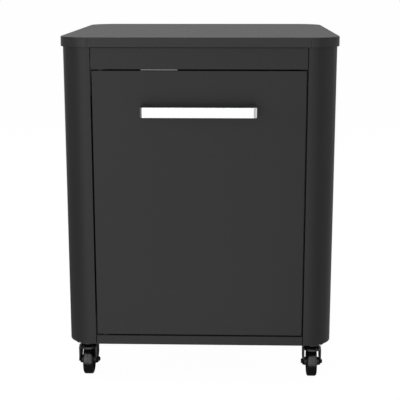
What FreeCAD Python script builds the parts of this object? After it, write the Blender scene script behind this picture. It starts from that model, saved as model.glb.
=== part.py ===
import FreeCAD, Part
import math
import os
from FreeCAD import Vector

# Grill cart with storage, in millimetres, +Z up, the door looking along -Y.
# Every shape is drawn about the middle of the cabinet's plan and moved back by SHIFT_Y
# at the end, so that the origin is the bottom centre of the whole object's box.

# Worktop: a folded pan with a rounded plan, a rim and a lip turned in under it
TOTAL_H = 850.0
TOP_W = 660.0
TOP_D = 670.0
TOP_T = 23.0
TOP_SHEET = 1.5
TOP_LIP = 30.0
TOP_EDGE_R = 1.4
RIM_SEAM_W = 0.6
RIM_SEAM_DEPTH = 0.5
RIM_SEAM_SHIFT = 3.5
TOP_OVERHANG = 5.0
STIFFENER_W = 60.0
STIFFENER_FLANGE = 18.0
STIFFENER_SHEET = 1.2
STIFFENER_PITCH = 220.0
STIFFENER_END_GAP = 8.0

# Cabinet shell: two wrapped side sheets joined by rails, a rear sheet and a floor
SHEET = 1.5
BODY_R = 62.0
BODY_BOTTOM = 100.5
COLUMN_FLAT = 8.5
JAMB_DEPTH = 34.0
REAR_FLANGE = 35.0
SIDE_TOP_FLANGE = 24.0
SIDE_TOP_FLANGE_L = 480.0
FLOOR_T = 2.0
FLOOR_CLEARANCE = 0.2
FLOOR_FLANGE_H = 20.0
FLOOR_FLANGE_L = 470.0
TOP_RAIL_H = 50.6
TOP_RAIL_FLANGE = 45.0
TOP_RAIL_UPPER_FLANGE = 25.0
TOP_RAIL_REVEAL = 1.1
TOP_RAIL_RETURN = 5.2
BOTTOM_RAIL_H = 22.1
BOTTOM_RAIL_FLANGE = 40.0
RAIL_SEAM = 1.8
RAIL_EAR_SETBACK = 4.0

# Rear sheet with its hose and cable opening
REAR_SHEET = 1.2
REAR_LAP = 22.0
REAR_FOLD = 20.0
HOSE_W = 114.0
HOSE_H = 60.0
HOSE_R = 14.0
HOSE_FROM_SIDE = 185.0
HOSE_DROP = 111.0
GROMMET_LIP = 4.0
GROMMET_T = 2.0
GROMMET_INNER = 2.0
GROMMET_ROUND = 0.9

# Shelf on two angle rails
SHELF_TOP_Z = 440.0
SHELF_SHEET = 1.2
SHELF_FOLD = 20.0
SHELF_FRONT_SETBACK = 50.0
SHELF_REAR_SETBACK = 68.0
SHELF_SIDE_GAP = 2.0
SHELF_RAIL_L = 480.0
SHELF_RAIL_W = 22.0
SHELF_RAIL_T = 1.5

# Door: an outer tray and an inner sheet, turning on a pin at each left corner
DOOR_GAP = 3.7
DOOR_T = 22.0
DOOR_SHEET = 1.2
DOOR_LIP = 14.0
DOOR_EDGE_R = 1.0
DOOR_INNER_SHEET = 1.0
DOOR_INNER_INSET = 3.0
PIVOT_IN = 20.0
PIVOT_BACK = 7.0

# Corner pivots: bracket, pin and flanged bush
BRACKET_T = 1.5
BRACKET_L = 40.0
BRACKET_D = 20.0
BRACKET_LEG = 60.0
BRACKET_SETBACK = 2.0
BRACKET_R = 6.0
PIN_R = 3.0
PIN_HEAD_R = 4.5
PIN_HEAD_T = 1.5
PIN_L = 16.0
PIN_HOLE_CLEARANCE = 0.1
BUSH_R = 4.5
BUSH_FLANGE_R = 6.0
BUSH_FLANGE_T = 1.5
BUSH_L = 11.0
RUNNING_CLEARANCE = 0.05

# Handle: a flat strip bent to a bow, its ends turned in on the door
HANDLE_L = 274.6
HANDLE_H = 23.8
HANDLE_T = 4.0
HANDLE_PROUD = 45.0
HANDLE_BEND_R = 11.0
HANDLE_FOOT_BEND_R = 5.0
HANDLE_FOOT = 20.0
HANDLE_DROP = 92.4
HANDLE_EDGE_R = 0.7
HANDLE_SCREW_R = 2.5
HANDLE_SCREW_HEAD_R = 4.7
HANDLE_SCREW_HEAD_T = 2.7
BACKER_T = 2.0
BACKER_MARGIN = 12.0

# Magnetic catch under the top rail, its strike on the door, and the stop strip
CATCH_FROM_JAMB = 64.5
CATCH_W = 46.0
CATCH_D = 16.0
CATCH_H = 15.0
MAGNET_W = 30.0
MAGNET_H = 7.0
MAGNET_D = 9.0
MAGNET_PROUD = 1.0
CATCH_GAP = 0.3
CATCH_ROUND = 2.0
CATCH_SCREW_END = 3.9
CATCH_SCREW_L = 10.5
STRIKE_W = 40.0
STRIKE_H = 14.0
STRIKE_T = 0.8
STOP_W = 16.0
STOP_LEG = 8.0
STOP_T = 1.2
STOP_END_GAP = 2.0
BUMPER_R = 4.0
BUMPER_T = 1.9
BUMPER_GAP = 0.1
BUMPER_INSET = 5.0
BUMPER_END = 70.0

# Casters: fixed plate and race, swivelling fork, wheel on an axle bolt
WHEEL_R = 37.5
WHEEL_W = 24.5
TYRE_WALL = 8.5
TYRE_SHOULDER_R = 5.0
HUB_W = 20.0
HUB_RIM_T = 3.5
HUB_WEB_T = 6.0
HUB_BOSS_R = 10.5
CASTER_INSET = 44.0
CASTER_TRAIL = 18.0
PLATE_W = 52.0
PLATE_T = 3.0
PLATE_R = 8.0
PLATE_BOLT_PITCH = 36.0
RACE_H = 10.5
RACE_R = 18.0
RACE_ROUND = 3.3
RUNNING_FACE_GAP = 0.3
FORK_W = 44.5
FORK_T = 3.0
FORK_BEND_R = 2.4
FORK_DOME_H = 9.7
FORK_RIM_H = 5.0
FORK_RACE_R = 17.0
FORK_NOSE_Y = 8.0
FORK_TAIL_Y = 42.0
FORK_SHOULDER_RISE = 13.0
FORK_EYE_R = 9.5
HUB_SIDE_GAP = 0.4
KINGPIN_R = 5.0
KINGPIN_HEAD_R = 7.0
KINGPIN_HEAD_T = 2.5
AXLE_R = 4.0
AXLE_HEAD_FLATS = 11.0
AXLE_HEAD_T = 3.6
AXLE_END = 1.6
CORNER_PLATE_T = 3.0
CORNER_PLATE_L = 88.0
CORNER_PLATE_JAMB_GAP = 1.0
BOLT_R = 2.5
BOLT_HEAD_FLATS = 8.0
BOLT_HEAD_T = 3.5
BOLT_END = 1.5

# Small screws
SCREW_R = 2.0
SCREW_HEAD_R = 3.9
SCREW_HEAD_T = 2.1
SCREW_HEAD_ROUND = 1.2
SCREW_HOLE_CLEARANCE = 0.25
SCREW_BITE = 3.0
TOP_SCREW_ROWS = 4
TOP_SCREW_END = 20.0
TOP_SCREW_INSET = 16.0
REAR_SCREW_ROWS = 6
REAR_SCREW_END = 45.0

# Sizes that follow from the ones above
TINY = 1e-6
SHIFT_Y = (HANDLE_PROUD - TOP_OVERHANG) / 2.0
BODY_W = TOP_W - 2.0 * TOP_OVERHANG
BODY_D = TOP_D - 2.0 * TOP_OVERHANG
BODY_TOP = TOTAL_H - TOP_T
FRONT_Y = -BODY_D / 2.0
REAR_Y = BODY_D / 2.0
OPENING_X = BODY_W / 2.0 - BODY_R - COLUMN_FLAT
OPENING_TOP = BODY_TOP - TOP_RAIL_H
OPENING_BOTTOM = BODY_BOTTOM + BOTTOM_RAIL_H
FLOOR_TOP = BODY_BOTTOM + FLOOR_T
DOOR_X = OPENING_X - DOOR_GAP
DOOR_TOP = OPENING_TOP - DOOR_GAP
DOOR_BOTTOM = OPENING_BOTTOM + DOOR_GAP
HANDLE_Z = DOOR_TOP - HANDLE_DROP
CATCH_X = OPENING_X - CATCH_FROM_JAMB
HOSE_X = HOSE_FROM_SIDE - BODY_W / 2.0
HOSE_Z = BODY_TOP - HOSE_DROP
DOOR_BACK_Y = FRONT_Y + DOOR_T
DOOR_INNER_Y = DOOR_BACK_Y + DOOR_INNER_SHEET
PIVOT_X = -DOOR_X + PIVOT_IN
PIVOT_Y = FRONT_Y + PIVOT_BACK
HANDLE_SCREW_X = HANDLE_L / 2.0 - HANDLE_T - (HANDLE_FOOT - HANDLE_T) / 2.0
STOP_Y = DOOR_INNER_Y + BUMPER_GAP + BUMPER_T
SHELF_BOTTOM = SHELF_TOP_Z - SHELF_SHEET
PLATE_BOTTOM = BODY_BOTTOM - PLATE_T
RACE_BOTTOM = PLATE_BOTTOM - RACE_H
FORK_TOP_Z = RACE_BOTTOM - RUNNING_FACE_GAP
FORK_CROWN_Z = FORK_TOP_Z - FORK_DOME_H
FORK_INNER = FORK_W / 2.0 - FORK_T
RIGHT = Vector(1, 0, 0)
BACK = Vector(0, 1, 0)
UP = Vector(0, 0, 1)
DOWN = Vector(0, 0, -1)
CORNERS = (
    ("front_left", -1.0, -1.0),
    ("front_right", 1.0, -1.0),
    ("rear_left", -1.0, 1.0),
    ("rear_right", 1.0, 1.0),
)


def block(x0, x1, y0, y1, z0, z1):
    """Plain block between two corners."""
    return Part.makeBox(x1 - x0, y1 - y0, z1 - z0, Vector(x0, y0, z0))


def edges_along(shape, axis):
    """Straight edges of a shape that run along one axis."""
    found = []
    for edge in shape.Edges:
        if len(edge.Vertexes) != 2:
            continue
        step = edge.Vertexes[1].Point - edge.Vertexes[0].Point
        if abs(abs(step.dot(axis)) - step.Length) < TINY:
            found.append(edge)
    return found


def rounded_block(x0, x1, y0, y1, z0, z1, radius):
    """Block with its four upright edges rounded."""
    shape = block(x0, x1, y0, y1, z0, z1)
    return shape.makeFillet(radius, edges_along(shape, UP))


def plan_block(half_x, half_y, z0, z1, radius):
    """Rounded block centred on the cabinet's plan."""
    return rounded_block(-half_x, half_x, -half_y, half_y, z0, z1, radius)


def rod(x, y, z, radius, length, axis=UP):
    """Cylinder that starts at a point and runs along an axis."""
    return Part.makeCylinder(radius, length, Vector(x, y, z), axis)


def hexagon(x, y, z, flats, length, axis):
    """Hexagonal prism, for bolt heads and nuts."""
    corner_r = flats / math.sqrt(3.0)
    points = []
    for step in range(7):
        angle = math.radians(60.0 * step)
        points.append(Vector(corner_r * math.cos(angle), corner_r * math.sin(angle), 0))
    prism = Part.Face(Part.makePolygon(points)).extrude(UP * length)
    turn = FreeCAD.Rotation(UP, axis)
    prism.Placement = FreeCAD.Placement(Vector(x, y, z), turn)
    return prism


def pan_screw(x, y, z, length, axis):
    """Low round-headed screw: the head's seat is at the point, the shank runs along the axis."""
    shank = rod(x, y, z, SCREW_R, length, axis)
    head = rod(x, y, z, SCREW_HEAD_R, SCREW_HEAD_T, axis.negative())
    rim = [edge for edge in head.Edges if far_circle(edge, Vector(x, y, z))]
    head = head.makeFillet(SCREW_HEAD_ROUND, rim)
    return shank.fuse(head).removeSplitter()


def far_circle(edge, point):
    """True for a closed round edge whose centre is away from the point."""
    if len(edge.Vertexes) != 1:
        return False
    return edge.BoundBox.Center.sub(point).Length > SCREW_HEAD_T / 2.0


def screw_hole(x, y, z, length, axis):
    """Clearance hole for a small screw."""
    return rod(x, y, z, SCREW_R + SCREW_HOLE_CLEARANCE, length, axis)


def body_outline(inset, z0, z1):
    """The cabinet's rounded plan, drawn in by an inset."""
    return plan_block(BODY_W / 2.0 - inset, BODY_D / 2.0 - inset, z0, z1, BODY_R - inset)


def rows(count, low, high):
    """Evenly spaced stations from low to high."""
    return [low + (high - low) * step / (count - 1) for step in range(count)]


def top_screw_places():
    """Screws through the side panels' upper flanges into the worktop's lip."""
    reach = SIDE_TOP_FLANGE_L / 2.0 - TOP_SCREW_END
    places = []
    for side in (-1.0, 1.0):
        for y in rows(TOP_SCREW_ROWS, -reach, reach):
            places.append((side * (BODY_W / 2.0 - TOP_SCREW_INSET), y))
    return places


def rear_screw_places():
    """Screws through the side panels' rear flanges into the rear sheet."""
    x = BODY_W / 2.0 - BODY_R - REAR_FLANGE + REAR_LAP / 2.0
    places = []
    for side in (-1.0, 1.0):
        for z in rows(REAR_SCREW_ROWS, BODY_BOTTOM + REAR_SCREW_END, BODY_TOP - REAR_SCREW_END):
            places.append((side * x, z))
    return places


def top_panel():
    """Worktop pan: skin, rim and inward lip in one folded sheet."""
    radius = BODY_R + TOP_OVERHANG
    pan = plan_block(TOP_W / 2.0, TOP_D / 2.0, BODY_TOP, TOTAL_H, radius)
    upper = [edge for edge in pan.Edges if edge.BoundBox.ZMin > TOTAL_H - TINY]
    pan = pan.makeFillet(TOP_EDGE_R, upper)
    half_x = TOP_W / 2.0 - TOP_SHEET
    half_y = TOP_D / 2.0 - TOP_SHEET
    z0 = BODY_TOP + TOP_SHEET
    z1 = TOTAL_H - TOP_SHEET
    pan = pan.cut(plan_block(half_x, half_y, z0, z1, radius - TOP_SHEET))
    mouth_x = TOP_W / 2.0 - TOP_LIP
    mouth_y = TOP_D / 2.0 - TOP_LIP
    pan = pan.cut(plan_block(mouth_x, mouth_y, BODY_TOP, z0, radius - TOP_LIP))
    for x, y in top_screw_places():
        pan = pan.cut(screw_hole(x, y, BODY_TOP, TOP_SHEET, UP))
    return pan.cut(rim_seams(radius))


def rim_seams(radius):
    """Shallow grooves down the rim where each pressed corner is welded to the straight sides."""
    half_w = RIM_SEAM_W / 2.0
    x = TOP_W / 2.0 - radius - RIM_SEAM_SHIFT
    y = TOP_D / 2.0 - radius - RIM_SEAM_SHIFT
    deep_x = TOP_W / 2.0 - RIM_SEAM_DEPTH
    deep_y = TOP_D / 2.0 - RIM_SEAM_DEPTH
    z1 = TOTAL_H - TOP_EDGE_R
    grooves = []
    for side_x in (-x, x):
        for low, high in ((-TOP_D / 2.0, -deep_y), (deep_y, TOP_D / 2.0)):
            grooves.append(block(side_x - half_w, side_x + half_w, low, high, BODY_TOP, z1))
    for side_y in (-y, y):
        for low, high in ((-TOP_W / 2.0, -deep_x), (deep_x, TOP_W / 2.0)):
            grooves.append(block(low, high, side_y - half_w, side_y + half_w, BODY_TOP, z1))
    return grooves


def top_stiffeners():
    """Two hat channels under the skin, from rim to rim, resting on the lips."""
    z0 = BODY_TOP + TOP_SHEET
    z1 = TOTAL_H - TOP_SHEET
    half_x = TOP_W / 2.0 - TOP_SHEET - STIFFENER_END_GAP
    half_w = STIFFENER_W / 2.0
    channels = []
    for y in (-STIFFENER_PITCH / 2.0, STIFFENER_PITCH / 2.0):
        web = block(-half_x, half_x, y - half_w, y + half_w, z0, z1)
        inside = block(-half_x, half_x, y - half_w + STIFFENER_SHEET, y + half_w - STIFFENER_SHEET,
                       z0 + STIFFENER_SHEET, z1)
        brim = block(-half_x, half_x, y - half_w - STIFFENER_FLANGE, y + half_w + STIFFENER_FLANGE,
                     z1 - STIFFENER_SHEET, z1)
        channels.append(web.fuse(brim).cut(inside))
    return channels


def side_panel(side):
    """One sheet wrapped from the door jamb round the side to the rear flange."""
    wrap = body_outline(0.0, BODY_BOTTOM, BODY_TOP).cut(body_outline(SHEET, BODY_BOTTOM, BODY_TOP))
    rear_x = BODY_W / 2.0 - BODY_R - REAR_FLANGE
    keep_front = block(OPENING_X, BODY_W / 2.0, FRONT_Y, 0.0, BODY_BOTTOM, BODY_TOP)
    keep_rear = block(rear_x, BODY_W / 2.0, 0.0, REAR_Y, BODY_BOTTOM, BODY_TOP)
    sheet = wrap.common(keep_front.fuse(keep_rear))
    jamb = block(OPENING_X, OPENING_X + SHEET, FRONT_Y, FRONT_Y + JAMB_DEPTH, FLOOR_TOP, BODY_TOP)
    wall_x = BODY_W / 2.0
    reach = SIDE_TOP_FLANGE_L / 2.0
    fold = block(wall_x - SIDE_TOP_FLANGE, wall_x - SHEET, -reach, reach, BODY_TOP - SHEET, BODY_TOP)
    sheet = sheet.fuse(jamb).fuse(fold).removeSplitter()
    for x, y in top_screw_places():
        if x > 0:
            sheet = sheet.cut(screw_hole(x, y, BODY_TOP - SHEET, SHEET, UP))
    for x, z in rear_screw_places():
        if x > 0:
            sheet = sheet.cut(screw_hole(x, REAR_Y - SHEET, z, SHEET, BACK))
    if side < 0:
        sheet = sheet.mirror(Vector(0, 0, 0), RIGHT)
    return sheet


def hose_block(grow, y0, y1):
    """The rounded shape of the hose opening, grown by an offset."""
    half_w = HOSE_W / 2.0 + grow
    half_h = HOSE_H / 2.0 + grow
    shape = block(HOSE_X - half_w, HOSE_X + half_w, y0, y1, HOSE_Z - half_h, HOSE_Z + half_h)
    return shape.makeFillet(HOSE_R + grow, edges_along(shape, BACK))


def rear_panel():
    """Rear sheet inside the side panels' flanges, folded in at its foot and head."""
    half_x = BODY_W / 2.0 - BODY_R - REAR_FLANGE + REAR_LAP
    y1 = REAR_Y - SHEET
    y0 = y1 - REAR_SHEET
    sheet = block(-half_x, half_x, y0, y1, FLOOR_TOP, BODY_TOP)
    foot = block(-half_x, half_x, y1 - REAR_FOLD, y1, FLOOR_TOP, FLOOR_TOP + REAR_SHEET)
    head = block(-half_x, half_x, y1 - REAR_FOLD, y1, BODY_TOP - REAR_SHEET, BODY_TOP)
    sheet = sheet.fuse(foot).fuse(head).cut(hose_block(0.0, y0, y1))
    for x, z in rear_screw_places():
        sheet = sheet.cut(screw_hole(x, y0, z, REAR_SHEET, BACK))
    return sheet


def rear_screws():
    """Screws of the rear sheet, heads outside."""
    length = SHEET + REAR_SHEET + SCREW_BITE
    return [pan_screw(x, REAR_Y, z, length, BACK.negative()) for x, z in rear_screw_places()]


def top_screws():
    """Screws of the worktop, heads under the side panels' upper flanges."""
    length = SHEET + TOP_SHEET + SCREW_BITE
    return [pan_screw(x, y, BODY_TOP - SHEET, length, UP) for x, y in top_screw_places()]


def hose_grommet():
    """Moulded edge strip that clips over the rim of the hose opening."""
    y1 = REAR_Y - SHEET
    y0 = y1 - REAR_SHEET
    strip = hose_block(GROMMET_LIP, y0 - GROMMET_T, y1 + GROMMET_T)
    faces = [face for face in strip.Faces if abs(abs(face.normalAt(0, 0).y) - 1.0) < TINY]
    rims = [edge for face in faces for edge in face.Edges]
    strip = strip.makeFillet(GROMMET_ROUND, rims)
    strip = strip.cut(hose_block(-GROMMET_INNER, y0 - GROMMET_T, y1 + GROMMET_T))
    return strip.cut(hose_block(2.0 * GROMMET_LIP, y0, y1).cut(hose_block(0.0, y0, y1)))


def floor_pan():
    """Cabinet floor with a flange up each side wall, drilled for the casters."""
    pan = body_outline(SHEET + FLOOR_CLEARANCE, BODY_BOTTOM, FLOOR_TOP)
    outer_x = BODY_W / 2.0 - SHEET - FLOOR_CLEARANCE
    reach = FLOOR_FLANGE_L / 2.0
    for side in (-1.0, 1.0):
        wall = block(outer_x - FLOOR_T, outer_x, -reach, reach, FLOOR_TOP, FLOOR_TOP + FLOOR_FLANGE_H)
        if side < 0:
            wall = wall.mirror(Vector(0, 0, 0), RIGHT)
        pan = pan.fuse(wall)
    for hole in bolt_holes(BODY_BOTTOM, FLOOR_TOP):
        pan = pan.cut(hole)
    return pan.removeSplitter()


def rail_face(z0, z1):
    """Front face of a rail, a seam short of the columns at each end."""
    half_x = OPENING_X - RAIL_SEAM
    return block(-half_x, half_x, FRONT_Y, FRONT_Y + SHEET, z0, z1)


def rail_flange(back_y, z0):
    """Flange of a rail, its ears reaching the jambs behind the face."""
    half_x = OPENING_X - RAIL_SEAM
    middle = block(-half_x, half_x, FRONT_Y, back_y, z0, z0 + SHEET)
    ears = block(-OPENING_X, OPENING_X, FRONT_Y + RAIL_EAR_SETBACK, back_y, z0, z0 + SHEET)
    return middle.fuse(ears)


def front_top_rail():
    """Fascia above the door: a channel whose flanges reach the jambs behind its face."""
    lower_y = FRONT_Y + TOP_RAIL_FLANGE
    upper_y = FRONT_Y + TOP_RAIL_UPPER_FLANGE
    rail = rail_face(OPENING_TOP, BODY_TOP - TOP_RAIL_REVEAL)
    rail = rail.fuse(rail_flange(lower_y, OPENING_TOP))
    rail = rail.fuse(rail_flange(upper_y, BODY_TOP - TOP_RAIL_REVEAL - SHEET))
    rail = rail.fuse(block(-OPENING_X, OPENING_X, lower_y - SHEET, lower_y,
                           OPENING_TOP - TOP_RAIL_RETURN, OPENING_TOP))
    rail = rail.cut(rod(PIVOT_X, PIVOT_Y, OPENING_TOP, PIN_R + PIN_HOLE_CLEARANCE, SHEET))
    for x in catch_screw_places():
        rail = rail.cut(screw_hole(x, catch_screw_y(), OPENING_TOP, SHEET, UP))
    return rail.removeSplitter()


def front_bottom_rail():
    """Channel under the door, standing on the floor pan."""
    back_y = FRONT_Y + BOTTOM_RAIL_FLANGE
    rail = rail_face(BODY_BOTTOM, OPENING_BOTTOM)
    rail = rail.fuse(rail_flange(back_y, OPENING_BOTTOM - SHEET))
    rail = rail.fuse(rail_flange(back_y, FLOOR_TOP))
    hole = rod(PIVOT_X, PIVOT_Y, OPENING_BOTTOM - SHEET, PIN_R + PIN_HOLE_CLEARANCE, SHEET)
    return rail.cut(hole).removeSplitter()


def shelf():
    """Shelf sheet with folded front and rear edges."""
    half_x = BODY_W / 2.0 - SHEET - SHELF_SIDE_GAP
    y0 = FRONT_Y + SHELF_FRONT_SETBACK
    y1 = REAR_Y - SHELF_REAR_SETBACK
    deck = block(-half_x, half_x, y0, y1, SHELF_BOTTOM, SHELF_TOP_Z)
    front = block(-half_x, half_x, y0, y0 + SHELF_SHEET, SHELF_TOP_Z - SHELF_FOLD, SHELF_TOP_Z)
    back = block(-half_x, half_x, y1 - SHELF_SHEET, y1, SHELF_TOP_Z - SHELF_FOLD, SHELF_TOP_Z)
    return deck.fuse(front).fuse(back).removeSplitter()


def shelf_rails():
    """Two angles spot-welded to the side walls, under the shelf's ends."""
    wall_x = BODY_W / 2.0 - SHEET
    reach = SHELF_RAIL_L / 2.0
    top = SHELF_BOTTOM
    ledge = block(wall_x - SHELF_RAIL_W, wall_x, -reach, reach, top - SHELF_RAIL_T, top)
    leg = block(wall_x - SHELF_RAIL_T, wall_x, -reach, reach, top - SHELF_RAIL_W, top)
    right = ledge.fuse(leg).removeSplitter()
    return [right.mirror(Vector(0, 0, 0), RIGHT), right]


def hinge_bracket(seat_z, up):
    """Corner bracket: a leaf on the rail, carrying the pin, and a leg along the jamb."""
    y0 = FRONT_Y + BRACKET_SETBACK
    y1 = y0 + BRACKET_D
    x0 = -OPENING_X
    leaf = block(x0, x0 + BRACKET_L, y0, y1, seat_z, seat_z + BRACKET_T)
    outer = [edge for edge in edges_along(leaf, UP) if edge.BoundBox.XMin > x0 + 1.0]
    leaf = leaf.makeFillet(BRACKET_R, outer)
    leg = block(x0, x0 + BRACKET_T, y0, y1, seat_z, seat_z + BRACKET_LEG)
    bracket = leaf.fuse(leg).cut(rod(PIVOT_X, PIVOT_Y, seat_z, PIN_R + PIN_HOLE_CLEARANCE, BRACKET_T))
    if not up:
        bracket = bracket.mirror(Vector(0, 0, seat_z), UP)
    return bracket.removeSplitter()


def hinge_pins():
    """Headed pins riveted through each rail and its bracket into the door."""
    low_z = OPENING_BOTTOM - SHEET
    high_z = OPENING_TOP + SHEET
    lower = rod(PIVOT_X, PIVOT_Y, low_z, PIN_R, PIN_L)
    lower = lower.fuse(rod(PIVOT_X, PIVOT_Y, low_z - PIN_HEAD_T, PIN_HEAD_R, PIN_HEAD_T))
    upper = rod(PIVOT_X, PIVOT_Y, high_z - PIN_L, PIN_R, PIN_L)
    upper = upper.fuse(rod(PIVOT_X, PIVOT_Y, high_z, PIN_HEAD_R, PIN_HEAD_T))
    return [lower.removeSplitter(), upper.removeSplitter()]


def door_bushes():
    """Flanged plastic bushes in the door's ends; the lower flange carries the door."""
    bore = PIN_R + RUNNING_CLEARANCE
    lower_flange = DOOR_GAP - BRACKET_T
    lower = rod(PIVOT_X, PIVOT_Y, DOOR_BOTTOM, BUSH_R, BUSH_L)
    lower = lower.fuse(rod(PIVOT_X, PIVOT_Y, DOOR_BOTTOM - lower_flange, BUSH_FLANGE_R, lower_flange))
    lower = lower.cut(rod(PIVOT_X, PIVOT_Y, DOOR_BOTTOM - lower_flange, bore, lower_flange + BUSH_L))
    upper = rod(PIVOT_X, PIVOT_Y, DOOR_TOP - BUSH_L, BUSH_R, BUSH_L)
    upper = upper.fuse(rod(PIVOT_X, PIVOT_Y, DOOR_TOP, BUSH_FLANGE_R, BUSH_FLANGE_T))
    upper = upper.cut(rod(PIVOT_X, PIVOT_Y, DOOR_TOP - BUSH_L, bore, BUSH_L + BUSH_FLANGE_T))
    return [lower, upper]


def door_outer_panel():
    """Door tray: face, four edges and a lip turned in at the back."""
    tray = block(-DOOR_X, DOOR_X, FRONT_Y, DOOR_BACK_Y, DOOR_BOTTOM, DOOR_TOP)
    front = [edge for edge in tray.Edges if edge.BoundBox.YMax < FRONT_Y + TINY]
    tray = tray.makeFillet(DOOR_EDGE_R, front)
    tray = tray.cut(block(-DOOR_X + DOOR_SHEET, DOOR_X - DOOR_SHEET, FRONT_Y + DOOR_SHEET,
                          DOOR_BACK_Y - DOOR_SHEET, DOOR_BOTTOM + DOOR_SHEET, DOOR_TOP - DOOR_SHEET))
    tray = tray.cut(block(-DOOR_X + DOOR_LIP, DOOR_X - DOOR_LIP, DOOR_BACK_Y - DOOR_SHEET,
                          DOOR_BACK_Y, DOOR_BOTTOM + DOOR_LIP, DOOR_TOP - DOOR_LIP))
    for z in (DOOR_BOTTOM, DOOR_TOP - DOOR_SHEET):
        tray = tray.cut(rod(PIVOT_X, PIVOT_Y, z, BUSH_R, DOOR_SHEET))
    for x in (-HANDLE_SCREW_X, HANDLE_SCREW_X):
        hole_r = HANDLE_SCREW_R + SCREW_HOLE_CLEARANCE
        tray = tray.cut(rod(x, FRONT_Y, HANDLE_Z, hole_r, DOOR_SHEET, BACK))
    return tray


def door_inner_panel():
    """Flat sheet that closes the back of the door tray."""
    half_x = DOOR_X - DOOR_INNER_INSET
    return block(-half_x, half_x, DOOR_BACK_Y, DOOR_INNER_Y,
                 DOOR_BOTTOM + DOOR_INNER_INSET, DOOR_TOP - DOOR_INNER_INSET)


def handle():
    """Bow handle from one strip: grip, two legs and two feet turned in on the door."""
    half_l = HANDLE_L / 2.0
    y0 = FRONT_Y - HANDLE_PROUD
    z0 = HANDLE_Z - HANDLE_H / 2.0
    z1 = HANDLE_Z + HANDLE_H / 2.0
    outer = block(-half_l, half_l, y0, FRONT_Y, z0, z1)
    inner = block(-half_l + HANDLE_T, half_l - HANDLE_T, y0 + HANDLE_T, FRONT_Y - HANDLE_T, z0, z1)
    outer = round_bow(outer, HANDLE_BEND_R, HANDLE_FOOT_BEND_R)
    inner = round_bow(inner, HANDLE_BEND_R - HANDLE_T, HANDLE_FOOT_BEND_R - HANDLE_T)
    foot_x = half_l - HANDLE_FOOT
    bow = outer.cut(inner).cut(block(-foot_x, foot_x, FRONT_Y - HANDLE_T, FRONT_Y, z0, z1))
    level = [edge for edge in bow.Edges if edge.BoundBox.ZLength < TINY]
    grip_edges = [edge for edge in level if edge.BoundBox.YMin < y0 + TINY]
    bow = bow.makeFillet(HANDLE_EDGE_R, grip_edges)
    for x in (-HANDLE_SCREW_X, HANDLE_SCREW_X):
        bow = bow.cut(rod(x, FRONT_Y - HANDLE_T, HANDLE_Z, HANDLE_SCREW_R, HANDLE_T, BACK))
    return bow


def round_bow(shape, front_radius, back_radius):
    """Round a block's upright edges, the front pair and the back pair each by a radius."""
    middle = (shape.BoundBox.YMin + shape.BoundBox.YMax) / 2.0
    front = [edge for edge in edges_along(shape, UP) if edge.BoundBox.YMax < middle]
    shape = shape.makeFillet(front_radius, front)
    back = [edge for edge in edges_along(shape, UP) if edge.BoundBox.YMin > middle]
    return shape.makeFillet(back_radius, back)


def handle_backer():
    """Strip inside the door that spreads the handle's pull."""
    half_l = HANDLE_L / 2.0 + BACKER_MARGIN
    y0 = FRONT_Y + DOOR_SHEET
    z0 = HANDLE_Z - HANDLE_H / 2.0
    z1 = HANDLE_Z + HANDLE_H / 2.0
    strip = block(-half_l, half_l, y0, y0 + BACKER_T, z0, z1)
    for x in (-HANDLE_SCREW_X, HANDLE_SCREW_X):
        hole_r = HANDLE_SCREW_R + SCREW_HOLE_CLEARANCE
        strip = strip.cut(rod(x, y0, HANDLE_Z, hole_r, BACKER_T, BACK))
    return strip


def handle_screws():
    """Screws from inside the door into the tapped feet of the handle."""
    seat_y = FRONT_Y + DOOR_SHEET + BACKER_T
    length = BACKER_T + DOOR_SHEET + HANDLE_T
    screws = []
    for x in (-HANDLE_SCREW_X, HANDLE_SCREW_X):
        shank = rod(x, seat_y, HANDLE_Z, HANDLE_SCREW_R, length, BACK.negative())
        head = rod(x, seat_y, HANDLE_Z, HANDLE_SCREW_HEAD_R, HANDLE_SCREW_HEAD_T, BACK)
        screws.append(shank.fuse(head).removeSplitter())
    return screws


def catch_screw_places():
    """Two screw stations along the catch."""
    offset = CATCH_W / 2.0 - CATCH_SCREW_END
    return (CATCH_X - offset, CATCH_X + offset)


def catch_screw_y():
    """Depth of the catch screws, on the middle of the housing."""
    return DOOR_INNER_Y + STRIKE_T + CATCH_GAP + MAGNET_PROUD + CATCH_D / 2.0


def magnet_block():
    """The magnet's space, its pole face just clear of the strike."""
    y0 = DOOR_INNER_Y + STRIKE_T + CATCH_GAP
    z1 = DOOR_TOP - DOOR_INNER_INSET - (STRIKE_H - MAGNET_H) / 2.0
    half_w = MAGNET_W / 2.0
    return block(CATCH_X - half_w, CATCH_X + half_w, y0, y0 + MAGNET_D, z1 - MAGNET_H, z1)


def catch_housing():
    """Moulded catch body screwed up under the top rail."""
    y0 = DOOR_INNER_Y + STRIKE_T + CATCH_GAP + MAGNET_PROUD
    half_w = CATCH_W / 2.0
    z0 = OPENING_TOP - CATCH_H
    body = block(CATCH_X - half_w, CATCH_X + half_w, y0, y0 + CATCH_D, z0, OPENING_TOP)
    body = body.makeFillet(CATCH_ROUND, edges_along(body, BACK)).cut(magnet_block())
    for x in catch_screw_places():
        body = body.cut(rod(x, catch_screw_y(), OPENING_TOP, SCREW_R, CATCH_SCREW_L - SHEET, DOWN))
    return body


def catch_screws():
    """Screws down through the rail's lower flange into the catch."""
    seat_z = OPENING_TOP + SHEET
    return [pan_screw(x, catch_screw_y(), seat_z, CATCH_SCREW_L, DOWN) for x in catch_screw_places()]


def strike_plate():
    """Steel strike on the back of the door, facing the magnet."""
    z1 = DOOR_TOP - DOOR_INNER_INSET
    half_w = STRIKE_W / 2.0
    y1 = DOOR_INNER_Y + STRIKE_T
    return block(CATCH_X - half_w, CATCH_X + half_w, DOOR_INNER_Y, y1, z1 - STRIKE_H, z1)


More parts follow.
